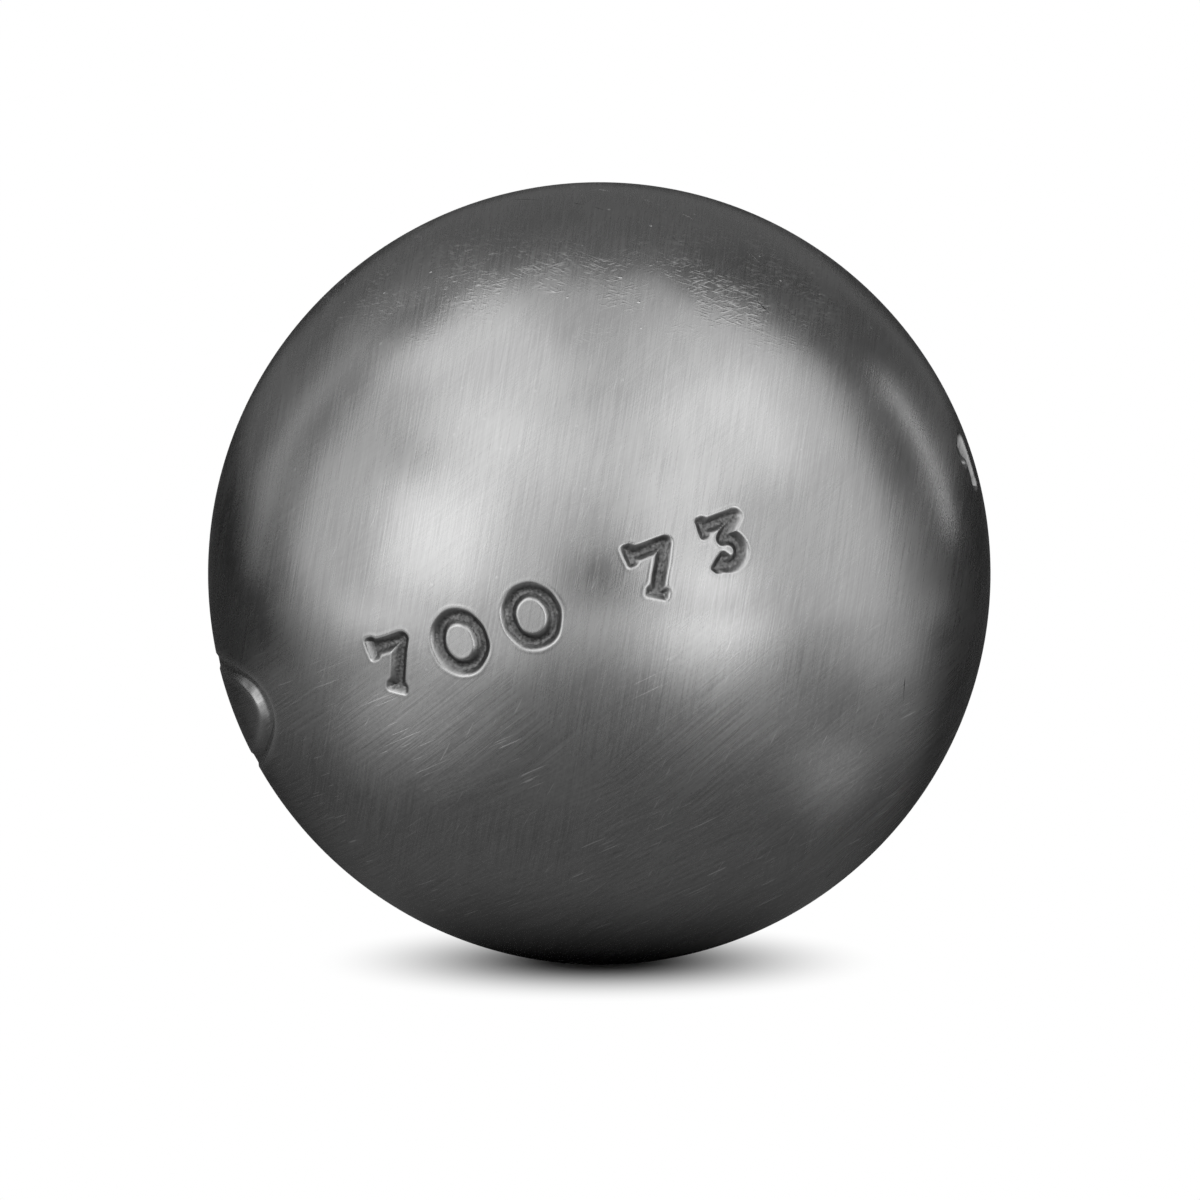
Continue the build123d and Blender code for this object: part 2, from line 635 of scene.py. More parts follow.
@dataclass(frozen=True, kw_only=True)
class Figures(Mark):
    """Row of stamped plain figures, cut to a groove by the stamp's chisel edges."""

    text: str
    edge: StampEdge = StampEdge(
        wall=0.68 * MM, shoulder=0.08 * MM, floor_ease=0.45, lip_height=0.015 * MM,
        rub_highlight_share=0.35, dullness_and_shade=1.0)
    refine: tuple[float, ...] = (2.4 * MM, 1.4 * MM, 0.8 * MM)
    depth: float = 0.66 * MM
    depth_swing: float = 0.06 * MM
    depth_spread: float = 0.7
    height: float = 6.2 * MM
    width: float = 5.6 * MM
    pitch: float = 7.2 * MM
    space_share: float = 0.65
    stroke: float = 1.5 * MM
    foot_width: float = 2.2 * MM
    foot_length: float = 1.1 * MM
    foot_ease: float = 0.40 * MM
    end_gap: float = 0.4 * MM
    bowl_sweep: float = 235.0
    uneven: float = 0.05 * MM
    drop: float = 0.0

    def top(self) -> float:
        """Height of a stroke's middle line at the top of a figure, above the figure's middle."""
        return (self.height - self.foot_width) / 2

    def corners(self, digit: str) -> list[Pair]:
        """Corners of one figure's stroke, about its own middle.

        Args:
            digit: The figure.

        Returns:
            The corners, from end to end.
        """
        side = (self.width - self.foot_width) / 2
        shares = {
            "1": [(-0.9, 0.4), (0.5, 1.0), (0.5, -1.0)],
            "3": [(-1.0, 1.0), (0.9, 1.0), (-0.15, 0.25)],
            "7": [(-1.0, 1.0), (1.0, 1.0), (-0.3, -1.0)],
        }
        return [(x * side, y * self.top()) for x, y in shares[digit]]

    def foot(self, end: Pair, before: Pair) -> Foot:
        """Widened end of a stroke that comes from the point before."""
        return Foot(end, (end[0] - before[0], end[1] - before[1]), self.foot_length, self.foot_width)

    def pulled(self, end: Pair, before: Pair) -> Pair:
        """Draw a stroke's end back, so that its round tip stays inside its foot.

        Args:
            end: The end.
            before: The point that the stroke comes from.

        Returns:
            The end's new place.
        """
        along = (before[0] - end[0], before[1] - end[1])
        share = self.end_gap / math.hypot(*along)
        return end[0] + along[0] * share, end[1] + along[1] * share

    def stroke_distance(self, digit: str, x: Field, y: Field) -> Field:
        """Distance from the edge of a figure that is one bent stroke.

        Args:
            digit: The figure.
            x: Places across the figure.
            y: Places up the figure.

        Returns:
            One distance for each place, below 0 inside it.
        """
        points = self.corners(digit)
        feet = [self.foot(points[0], points[1])]
        line = [self.pulled(points[0], points[1]), *points[1:]]
        strokes: list[Bar | Bow] = []
        if digit == "3":
            radius = (points[-1][1] + self.top()) / 2
            sweep = self.bowl_sweep - math.degrees(self.end_gap / radius)
            bowl = Bow((points[-1][0], points[-1][1] - radius), radius, sweep)
            feet.append(self.foot(bowl.point(self.bowl_sweep), bowl.point(self.bowl_sweep - 1)))
            strokes.append(bowl)
        else:
            feet.append(self.foot(points[-1], points[-2]))
            line[-1] = self.pulled(points[-1], points[-2])
        strokes += [Bar(start, end) for start, end in zip(line, line[1:])]
        nearest = np.min([stroke.distance(x, y) for stroke in strokes], axis=0) - self.stroke / 2
        for foot in feet:
            nearest = joined(nearest, foot.distance(x, y), self.foot_ease)
        return nearest

    def ring_distance(self, x: Field, y: Field) -> Field:
        """Distance from the edge of the round figure.

        Args:
            x: Places across the figure.
            y: Places up the figure.

        Returns:
            One distance for each place, below 0 inside it.
        """
        outer = oval_distance(x, y, self.width / 2, self.height / 2)
        inset = oval_distance(x, y, self.width / 2 - self.stroke, self.height / 2 - self.stroke)
        return np.maximum(outer, -inset)

    def distance(self, points: Field, radius: float) -> Field:
        """Distance of the ball's points from the edge of the nearest figure.

        Args:
            points: Places in the ball's own axes.
            radius: Radius of the ball.

        Returns:
            One distance for each point, below 0 inside a figure.
        """
        steps = [self.space_share if digit == " " else 1.0 for digit in self.text]
        nearest = np.full(len(points), np.inf)
        for index, digit in enumerate(self.text):
            if digit == " ":
                continue
            middle = sum(steps[:index]) + steps[index] / 2 - sum(steps) / 2
            x, out = self.facing(points, math.radians(self.turn) + middle * self.pitch / radius)
            y = points[:, 2] + self.drop
            reach = self.ring_distance(x, y) if digit == "0" else self.stroke_distance(digit, x, y)
            nearest = np.minimum(nearest, np.where(out > 0, reach, np.inf))
        return nearest + swing(points, self.uneven)

    def depths(self, points: Field, radius: float) -> Field:
        """Depth of the groove's middle at each of the ball's points."""
        return self.depth + swing(points * self.depth_spread, self.depth_swing)


@dataclass(frozen=True, kw_only=True)
class Oval(Mark):
    """Sunk channel round a bare oval field, struck by a die rounder than the ball."""

    # The wide bright band along the channel is worn metal and partly a painted highlight
    edge: StampEdge = StampEdge(
        wall=1.2 * MM, shoulder=0.15 * MM, floor_ease=0.3, lip_height=0.0,
        rub_highlight_share=0.95, dullness_and_shade=0.0, rub_highlight_width=0.55 * MM)
    refine: tuple[float, ...] = (2.4 * MM, 1.2 * MM, 0.8 * MM)
    full_depth: float = 0.5 * MM
    least_wall: float = 0.25
    length: float = 34.4 * MM
    height: float = 11.4 * MM
    field_length: float = 27.0 * MM
    field_height: float = 8.4 * MM
    die_depth: float = 0.07 * MM
    die_radius: float = 30.0 * MM

    def distance(self, points: Field, radius: float) -> Field:
        """Distance of the ball's points from the edge of the channel.

        Args:
            points: Places in the ball's own axes.
            radius: Radius of the ball.

        Returns:
            One distance for each point, below 0 inside the channel.
        """
        across, out = self.facing(points, math.radians(self.turn))
        ahead = np.maximum(out, radius / 4)
        x = across * radius / ahead
        y = points[:, 2] * radius / ahead
        outer = oval_distance(x, y, self.length / 2, self.height / 2)
        inset = oval_distance(x, y, self.field_length / 2, self.field_height / 2)
        return np.where(out > 0, np.maximum(outer, -inset), np.inf)

    def wall_share(self, points: Field, radius: float) -> Field:
        """Share of the wall's full width, less where the die is shallow, so that the slope stays."""
        return np.clip(self.depths(points, radius) / self.full_depth, self.least_wall, 1)

    def depths(self, points: Field, radius: float) -> Field:
        """Depth that the die reaches below the skin.

        Args:
            points: Places in the ball's own axes.
            radius: Radius of the ball.

        Returns:
            One depth for each point.
        """
        out = self.facing(points, math.radians(self.turn))[1]
        cosine = out / np.linalg.norm(points, axis=1)
        middle = radius - self.die_depth - self.die_radius
        square = self.die_radius ** 2 - middle ** 2 * (1 - cosine ** 2)
        return radius - middle * cosine - np.sqrt(square)


@dataclass
class HalfShell:
    """One pressed half shell with its stamped marks, its bevelled rim and its hollow side."""

    name: str
    node: str
    side: Side
    ball: Ball
    marks: Sequence[Figures | Oval]
    skin_radius: float
    segments: int = 288
    hollow_segments: int = 128
    refine_levels: int = 3
    plain_gap: float = 0.6 * MM
    crease: float = 50.0

    def near_marks(self, points: Field, level: int) -> Field:
        """Whether points lie in or near a mark that is refined at one level."""
        near = [mark.distance(points, self.ball.radius) < mark.refine[level] for mark in self.marks]
        return np.any(near, axis=0)

    def plain(self, points: Field) -> Field:
        """Whether points lie clear of every mark."""
        clear = [mark.distance(points, self.ball.radius) > self.plain_gap for mark in self.marks]
        return np.all(clear, axis=0)

    def cut(self, obj: bpy.types.Object, offset: float) -> None:
        """Cut an object square to the weld's axis and drop what is past the cut.

        Args:
            obj: The object.
            offset: Distance of the cut from the middle of the weld.
        """
        Bench.edit(obj, Pick.POINTS)
        bpy.ops.mesh.select_all(action="SELECT")
        normal = self.ball.axis() * self.side.value
        bpy.ops.mesh.bisect(plane_co=normal * offset, plane_no=normal, clear_inner=True)
        Bench.close()

    def skin(self) -> bpy.types.Object:
        """Model the outer skin, finer round the marks, and press the marks in.

        Returns:
            The open skin.
        """
        Bench.clear()
        bpy.ops.mesh.primitive_uv_sphere_add(
            segments=self.segments, ring_count=self.segments // 2, radius=self.skin_radius)
        obj = bpy.context.object
        self.cut(obj, self.ball.mouth())
        for level in range(self.refine_levels):
            Bench.mark(obj, Pick.FACES, self.near_marks(Bench.middles(obj.data), level))
            bpy.ops.mesh.subdivide(number_cuts=1, ngon=False)
            Bench.close()
        Bench.round_out(obj, self.skin_radius)
        self.stamp(obj)
        return obj

    def stamp(self, obj: bpy.types.Object) -> None:
        """Press the marks into the skin and note where it is duller and painted darker as shade, and where
        its edges are worn and partly painted bright as a highlight.

        Args:
            obj: The skin.
        """
        points = Bench.points(obj.data)
        radius = self.ball.radius
        sink, lip, dull_and_shade_share, rub_and_highlight = np.zeros((4, len(points)))
        for mark in self.marks:
            distance = mark.distance(points, radius)
            share = mark.edge.sink(distance / mark.wall_share(points, radius))
            sink = np.maximum(sink, share * mark.depths(points, radius))
            lip = np.maximum(lip, mark.edge.lip(distance))
            # The groove is duller metal and painted darker, as shade, the deeper it goes
            dull_and_shade_share = np.maximum(dull_and_shade_share, share * mark.edge.dullness_and_shade)
            # The edge is worn and partly painted bright, as a highlight
            rub_and_highlight = np.maximum(rub_and_highlight, mark.edge.rub_and_highlight(distance))
        for name, heights, sign in (("sink", sink, -1), ("lip", lip, 1)):
            most = heights.max()
            if most > 0:
                Bench.weigh(obj, name, heights / most)
                Bench.modify(obj, "DISPLACE", vertex_group=name, mid_level=0.0, strength=sign * most)
        # Painted shade with duller metal in the grooves, for the material
        Bench.paint(obj, "dull_and_shaded", dull_and_shade_share)
        # Painted highlight with worn metal along the edges, for the material
        Bench.paint(obj, "rubbed_and_highlit", rub_and_highlight)
        obj.vertex_groups.clear()

    def hollow(self) -> bpy.types.Object:
        """Model the hollow side and the square root face of the rim.

        Returns:
            The open inner wall.
        """
        Bench.clear()
        bpy.ops.mesh.primitive_uv_sphere_add(
            segments=self.hollow_segments, ring_count=self.hollow_segments // 2,
            radius=self.ball.inner())
        obj = bpy.context.object
        Bench.lay(obj, self.ball.seam())
        self.cut(obj, self.ball.half_root())
        # The whole hollow side is duller metal and painted dark as shade, in the groove tone
        Bench.paint(obj, "dull_and_shaded", np.ones(len(obj.data.vertices)))
        Bench.edit(obj, Pick.EDGES)
        Bench.pick_rims()
        bpy.ops.mesh.extrude_edges_move()
        grow = self.ball.bevel_start() / self.ball.root_edge()
        centre = self.ball.axis() * self.side.value * self.ball.half_root()
        bpy.ops.transform.resize(value=(grow, grow, grow), center_override=centre)
        Bench.close()
        return obj

    def build(self) -> bpy.types.Object:
        """Model the whole shell.

        Returns:
            The shell, lying as in the photograph.
        """
        obj = self.skin()
        inner = self.hollow()
        Bench.take(obj, inner)
        bpy.ops.object.join()
        Bench.bridge_rims(obj)
        smooth_skin(obj, self.crease, self.skin_radius, self.plain)
        Bench.lay(obj, self.ball.lie())
        obj.name = self.name
        return obj


def smooth_skin(
    obj: bpy.types.Object,
    crease: float,
    radius: float,
    plain: Callable[[Field], Field] | None = None,
) -> None:
    """Shade a piece smooth, with the ball's own normals on its plain skin.

    Args:
        obj: The piece, about the ball's middle.
        crease: Angle in degrees above which an edge stays sharp.
        radius: Radius of the skin.
        plain: Says for each point whether it lies clear of every mark. Without it, all do.
    """
    Bench.take(obj)
    bpy.ops.object.shade_smooth_by_angle(angle=math.radians(crease))
    mesh = obj.data
    points = Bench.points(mesh)
    level = np.linalg.norm(points, axis=1)
    skin = np.abs(level - radius) < SKIN_GAP
    if plain:
        skin &= plain(points)
    outward = points / np.maximum(level, TINY)[:, None]
    normals = Bench.rows(mesh.corner_normals, "vector")
    corner = np.empty(len(mesh.loops), dtype=np.int64)
    mesh.loops.foreach_get("vertex_index", corner)
    square = np.einsum("ij,ij->i", normals, outward[corner]) > SKIN_FACING
    turned = skin[corner] & square
    normals[turned] = outward[corner[turned]]
    mesh.normals_split_custom_set(normals.tolist())


@dataclass
class WeldBead:
    """Ring of weld metal in the joint, turned flush outside and proud inside."""

    name: str
    node: str
    ball: Ball
    skin_radius: float
    segments: int = 360
    skin_cuts: int = 7
    crease: float = 40.0
    crown_share: float = 2 / 3
    crown_width: float = 0.7
    rim_share: float = 0.98

    def rings(self) -> list[Pair]:
        """Edge rings of one side of the bead, from the skin in to its crown.

        Returns:
            The radius of each ring and its distance from the middle of the weld.
        """
        ball = self.ball
        offset = ball.mouth()
        crown = ball.inner() - ball.root_proud
        return [
            (math.sqrt(self.skin_radius ** 2 - offset ** 2), offset),
            (ball.bevel_start(), ball.half_root()),
            (ball.root_edge(), ball.half_root()),
            (ball.root_edge() * (1 - self.crown_share) + crown * self.crown_share,
             ball.half_root() * self.crown_width),
        ]

    def band(self) -> bpy.types.Object:
        """Model the band of the bead that is turned flush with the ball.

        Returns:
            The open band, upright.
        """
        reach, offset = self.rings()[0]
        Bench.clear()
        bpy.ops.mesh.primitive_cylinder_add(
            vertices=self.segments, radius=reach, depth=2 * offset, end_fill_type="NOTHING")
        obj = bpy.context.object
        Bench.edit(obj, Pick.EDGES)
        Bench.pick_rims()
        bpy.ops.mesh.select_all(action="INVERT")
        bpy.ops.mesh.subdivide(number_cuts=self.skin_cuts)
        Bench.close()
        Bench.round_out(obj, self.skin_radius)
        return obj

    def draw_in(self, obj: bpy.types.Object, side: Side) -> None:
        """Draw one rim of the band inwards, ring by ring.

        Args:
            obj: The band.
            side: The half of the ball that the rim is next to.
        """
        rings = self.rings()
        x, y, z = Bench.points(obj.data).T
        rim = side.value * z > rings[0][1] * self.rim_share
        Bench.mark(obj, Pick.POINTS, rim & (np.hypot(x, y) > self.ball.bevel_start()))
        bpy.ops.mesh.select_mode(type=Pick.EDGES.value)
        for (radius, offset), (next_radius, next_offset) in zip(rings, rings[1:]):
            grow = next_radius / radius
            bpy.ops.mesh.extrude_edges_move()
            bpy.ops.transform.resize(value=(grow, grow, 1.0), center_override=(0, 0, 0))
            bpy.ops.transform.translate(value=(0, 0, side.value * (next_offset - offset)))
        Bench.close()

    def build(self) -> bpy.types.Object:
        """Model the ring.

        Returns:
            The ring, lying as in the photograph.
        """
        obj = self.band()
        for side in Side:
            self.draw_in(obj, side)
        Bench.bridge_rims(obj)
        smooth_skin(obj, self.crease, self.skin_radius)
        Bench.lay(obj, self.ball.lie() @ self.ball.seam())
        obj.name = self.name
        return obj


class SkinGraph(Graph):
    """Node tree of the ball's steel, with the place on the ball and the height, in millimetres."""

    def __init__(self, tree: bpy.types.NodeTree, lie: Matrix) -> None:
        """Start from an empty node tree.

        Args:
            tree: The tree.
            lie: Turn from the ball's own axes to how it lies.
        """
        super().__init__(tree)
        self.upright = lie.inverted()
        place = self.node("ShaderNodeTexCoord", output="Object")
        inputs = {"Vector": place, "Rotation": self.upright.to_euler(), "Scale": (1 / MM,) * 3}
        self.place = self.node("ShaderNodeMapping", None, inputs)
        self.height = self.node("ShaderNodeSeparateXYZ", None, {0: place}, output="Z") * (1 / MM)

    def patches(self, scale: float, detail: float, shift: float = 0.0) -> Value:
        """Soft random patches over the ball, from 0 to 1."""
        place = self.moved(self.place, shift) if shift else self.place
        return self.noise(place, scale, detail)


@dataclass(frozen=True)
class Brushing:
    """Fine lines that run in circles about an axis, given as the ball lies, in millimetres."""

    axis: Triple
    width: float
    length: float
    seed: float
    detail: float = 2.0

    def lines(self, skin: SkinGraph) -> Value:
        """Make the lines.

        Args:
            skin: Node tree of the steel.

        Returns:
            A value about 0.5 that swings across the lines.
        """
        axis = skin.upright.to_3x3() @ Vector(self.axis)
        stretched = skin.node("ShaderNodeMapping", {"vector_type": "TEXTURE"}, {
            "Vector": skin.place,
            "Location": (self.seed,) * 3,
            "Rotation": axis.to_track_quat("Z", "Y").to_euler(),
            "Scale": (self.length, self.length, self.width),
        })
        return skin.noise(stretched, 1.0, self.detail)


@dataclass(frozen=True)
class Dots:
    """Scattered round dots of one size, in millimetres."""

    spacing: float
    radius: float
    share: float
    seed: float
    toss: float = 0.001

    def spots(self, skin: SkinGraph) -> Value:
        """Make the dots.

        Args:
            skin: Node tree of the steel.

        Returns:
            A value that is 1 in a dot and 0 elsewhere.
        """
        inputs = {"Vector": skin.moved(skin.place, self.seed), "Scale": 1 / self.spacing}
        reach = skin.node("ShaderNodeTexVoronoi", None, inputs, output="Distance")
        chance = skin.node("ShaderNodeTexVoronoi", None, inputs, output="Color")
        size = self.radius / self.spacing
        rare = 1 - self.share
        return (1 - reach.above(size / 2, size)) * chance.above(rare - self.toss, rare)


@dataclass(frozen=True)
class SatinSteel:
    """Dark satin steel: brushed lines, stray scratches, scuffs, specks, duller stamped grooves with painted
    shade, and worn edges with a painted highlight.

    Heights are in millimetres from the middle of the ball. A pair of tones is for its upper and lower part;
    the stronger lower one is partly painted highlight.
    """

    name: str
    lie: Matrix
    colour: float = 0.33
    # Tone in the grooves: duller metal with painted shade
    dull_shaded_colour: float = 0.10
    # Tone along the edges: worn metal with a painted highlight
    rubbed_highlight_colour: float = 0.54
    roughness: float = 0.27
    sunk_roughness: float = 0.40
    edge_tint: float = 0.8
    wander_height: float = 16.0
    low_edge: Pair = (-14.0, 2.0)
    scuff_wander: float = 0.3
    scuff_start: Pair = (22.0, 27.0)
    scuff_stop: Pair = (31.0, 35.5)
    speck_start: Pair = (21.0, 26.0)
    steeper_share: float = 0.35
    lone_share: float = 0.5
    # Upper and lower tone of lines, fine grain and scratches; the stronger lower tone is partly painted
    # highlight
    line_tone_and_low_highlight: Pair = (0.64, 1.04)
    fine_tone_and_low_highlight: Pair = (0.06, 0.36)
    scratch_tone_and_low_highlight: Pair = (0.08, 0.30)
    blotch_tone: float = 0.16
    scuff_tone: float = 0.10
    speck_tone: float = 0.24
    pit_tone: float = 0.20
    floor_contrast: float = 2.6
    line_rough: float = 0.10
    blotch_rough: float = 0.10
    scuff_rough: float = 0.05
    line_relief: float = 0.012
    wave_relief: float = 0.10
    scratch_relief: float = 0.004
    scuff_relief: float = 0.014
    dot_relief: float = 0.03
    floor_relief: float = 0.06

    def brushing(self, skin: SkinGraph, low: Value) -> Value:
        """Brushed lines: steep above, crossed by level and slanting ones below.

        Args:
            skin: Node tree of the steel.
            low: 1 on the lower part of the ball and 0 above.

        Returns:
            A value about 0.5 that swings across the lines.
        """
        steep = Brushing((0.985, 0.0, -0.17), 0.13, 5.0, 3.0, 3.0).lines(skin)
        level = Brushing((-0.40, 0.0, 0.92), 0.15, 7.0, 17.0).lines(skin)
        slant = Brushing((-0.64, 0.0, 0.77), 0.14, 7.0, 41.0).lines(skin)
        crossed = (low * skin.patches(0.06, 2.0).above(0.30, 0.52)).between(0.28, 0.92)
        slanted = skin.patches(0.05, 1.0, 91.0).above(0.40, 0.54).between(0.45, 1.0)
        return steep.toward(level.toward(slant, slanted), crossed)

    def scratches(self, skin: SkinGraph, low: Value) -> Value:
        """Stray fine scratches, most of them on the lower part of the ball.

        Args:
            skin: Node tree of the steel.
            low: 1 on the lower part of the ball and 0 above.

        Returns:
            A value that is 1 in a scratch and 0 elsewhere.
        """
        rising = Brushing((-0.42, 0.05, 0.9), 0.12, 4.2, 63.0, 0.0).lines(skin).above(0.75, 0.79)
        steeper = Brushing((-0.60, 0.05, 0.80), 0.10, 5.0, 29.0, 0.0).lines(skin).above(0.74, 0.82)
        lone = Brushing((0.9, 0.1, -0.4), 0.10, 3.0, 77.0, 0.0).lines(skin).above(0.79, 0.83)
        near = low * skin.patches(0.12, 1.0, 27.0).above(0.50, 0.60)
        far = low * skin.patches(0.10, 1.0, 71.0).above(0.46, 0.60)
        return (rising * near + steeper * (self.steeper_share * far) + self.lone_share * lone).limited()

    def scuffs(self, skin: SkinGraph, high: Value) -> Value:
        """Short shallow strokes left by other balls, most of them near the top.

        Args:
            skin: Node tree of the steel.
            high: 1 on the band near the top of the ball and 0 elsewhere.

        Returns:
            A value that is 1 or more in a scuff and 0 elsewhere.
        """
        strokes = Brushing((0.30, 0.0, 0.95), 0.14, 0.9, 15.0, 1.0).lines(skin).above(0.50, 0.78)
        crossing = Brushing((-0.25, 0.0, 0.97), 0.16, 1.1, 48.0, 1.0).lines(skin).above(0.52, 0.80)
        where = skin.patches(0.20, 3.0, 33.0).above(0.36, 0.60) * high.between(0.06, 1.0)
        return (strokes + crossing) * where

    def material(self) -> bpy.types.Material:
        """Make the material.

        Returns:
            The finished steel.
        """
        made = bpy.data.materials.new(self.name)
        made.use_nodes = True
        skin = SkinGraph(made.node_tree, self.lie)
        wander = self.wander_height * (skin.patches(0.06, 1.0, 8.0) - NOISE_MIDDLE)
        low = 1 - (skin.height + wander).above(*self.low_edge)
        scuffed = skin.height + self.scuff_wander * wander
        high = scuffed.above(*self.scuff_start) * (1 - scuffed.above(*self.scuff_stop))
        lines = self.brushing(skin, low) - NOISE_MIDDLE
        scratches = self.scratches(skin, low)
        scuffs = self.scuffs(skin, high)
        top = skin.height.above(*self.speck_start)
        specks = Dots(2.0, 0.20, 0.45, 5.0).spots(skin) * top.between(0.15, 1.0)
        pits = Dots(9.0, 0.22, 0.35, 52.0).spots(skin)
        blotch = skin.patches(0.16, 3.0, 55.0) - NOISE_MIDDLE
        fine = skin.patches(3.0, 2.0, 19.0) - NOISE_MIDDLE
        wave = skin.patches(0.07, 1.0, 12.0)
        grain = skin.patches(4.0, 2.0)
        # Where the grooves are duller and painted darker as shade
        dull_and_shaded = skin.node("ShaderNodeAttribute", {"attribute_name": "dull_and_shaded"}, output="Fac")
        # Where the edges are worn bright and partly painted bright as a highlight
        rubbed_and_highlit = skin.node("ShaderNodeAttribute", {"attribute_name": "rubbed_and_highlit"}, output="Fac")

        # Lines, fine grain and scratches swing stronger on the lower part; that stronger swing is partly
        # painted highlight, the light the fine grooves catch
        tone = 1 + low.between(*self.line_tone_and_low_highlight) * lines + self.blotch_tone * blotch
        tone = self.colour * (tone + low.between(*self.fine_tone_and_low_highlight) * fine)
        tone = tone + low.between(*self.scratch_tone_and_low_highlight) * scratches + self.scuff_tone * scuffs * high
        tone = tone + self.speck_tone * specks - self.pit_tone * pits
        # Groove floors: painted shade with duller metal, in a grainy tone
        floor = self.dull_shaded_colour * (1 + self.floor_contrast * (grain - NOISE_MIDDLE))
        # Edges: painted highlight with worn metal
        tone = tone.toward(self.rubbed_highlight_colour, rubbed_and_highlit).toward(floor, dull_and_shaded)
        rough = self.roughness + self.line_rough * lines + self.blotch_rough * blotch
        rough = (rough + self.scuff_rough * scuffs).toward(self.sunk_roughness, dull_and_shaded)
        relief = self.line_relief * lines + self.wave_relief * wave + self.scratch_relief * scratches
        relief = relief + self.scuff_relief * scuffs + self.dot_relief * (specks - pits)
        relief = relief + self.floor_relief * grain * dull_and_shaded
        bump = skin.node("ShaderNodeBump", None, {"Strength": 1.0, "Distance": MM, "Height": relief})
        steel = skin.node("ShaderNodeBsdfPrincipled", None, {
            "Base Color": skin.grey(tone),
            "Metallic": 1.0,
            "Roughness": rough,
            "Specular Tint": (*(self.edge_tint,) * 3, 1),
            "Normal": bump,
        })
        skin.finish("ShaderNodeOutputMaterial", steel)
        return made


def direction(azimuth: float, elevation: float) -> Vector:
    """Direction from the ball, with azimuth 0 towards the viewer and 90 to the right."""
    turn, rise = math.radians(azimuth), math.radians(elevation)
    return Vector((math.sin(turn) * math.cos(rise), -math.cos(turn) * math.cos(rise), math.sin(rise)))


def facing(spot: Vector) -> Matrix:
    """Place at a spot, looking at the middle of the ball."""
    return Matrix.Translation(spot) @ (-spot).to_track_quat("-Z", "Y").to_matrix().to_4x4()


@dataclass(frozen=True)
class Lamp:
    """Flat soft lamp that faces the ball, in degrees and metres."""

    name: str
    azimuth: float
    elevation: float
    width: float
    height: float
    radiance: float
    distance: float = 1.0

    def hang(self) -> None:
        """Hang the lamp."""
        light = bpy.data.lights.new(self.name, "AREA")
        light.shape = "RECTANGLE"
        light.size = self.span(self.width)
        light.size_y = self.span(self.height)
        light.energy = self.radiance * math.pi * light.size * light.size_y
        lamp = bpy.data.objects.new(self.name, light)
        bpy.context.collection.objects.link(lamp)
        lamp.visible_camera = False
        lamp.matrix_world = facing(direction(self.azimuth, self.elevation) * self.distance)

    def span(self, angle: float) -> float:
        """Size that fills an angle as seen from the ball."""
        return 2 * self.distance * math.tan(math.radians(angle / 2))


@dataclass(frozen=True)
class Drape:
    """Glowing sheet that stands in for a matt cloth, part of a dome round the ball that only its shine
    shows, in degrees and metres.
    """

    name: str
    azimuth: Pair
    elevation: Pair
    distance: float
    tone: float
    segments: int = 120

    def hang(self) -> bpy.types.Object:
        """Model the cloth.

        Returns:
            The cloth, bare.
        """
        Bench.clear()
        bpy.ops.mesh.primitive_uv_sphere_add(
            segments=self.segments, ring_count=self.segments // 2, radius=self.distance)
        obj = bpy.context.object
        obj.name = self.name
        x, y, z = Bench.middles(obj.data).T
        rise = np.degrees(np.arctan2(z, np.hypot(x, y)))
        middle = sum(self.azimuth) / 2
        aside = (np.degrees(np.arctan2(x, -y)) - middle + 180) % 360 - 180
        outside = np.abs(aside) > (self.azimuth[1] - self.azimuth[0]) / 2
        outside |= (rise < self.elevation[0]) | (rise > self.elevation[1])
        Bench.mark(obj, Pick.FACES, outside)
        bpy.ops.mesh.delete(type="FACE")
        Bench.close()
        return obj


@dataclass(frozen=True)
class Glow:
    """Soft bright spot on the mat, in degrees and metres."""

    azimuth: float
    distance: float
    reach: Pair
    level: float

    def strength(self, graph: Graph) -> Value:
        """Light of the spot over the mat, from its level in the middle to none at its edge."""
        spot = direction(self.azimuth, 0.0) * self.distance
        return self.level * (1 - graph.distance((spot.x, spot.y, 0.0)).above(*self.reach))


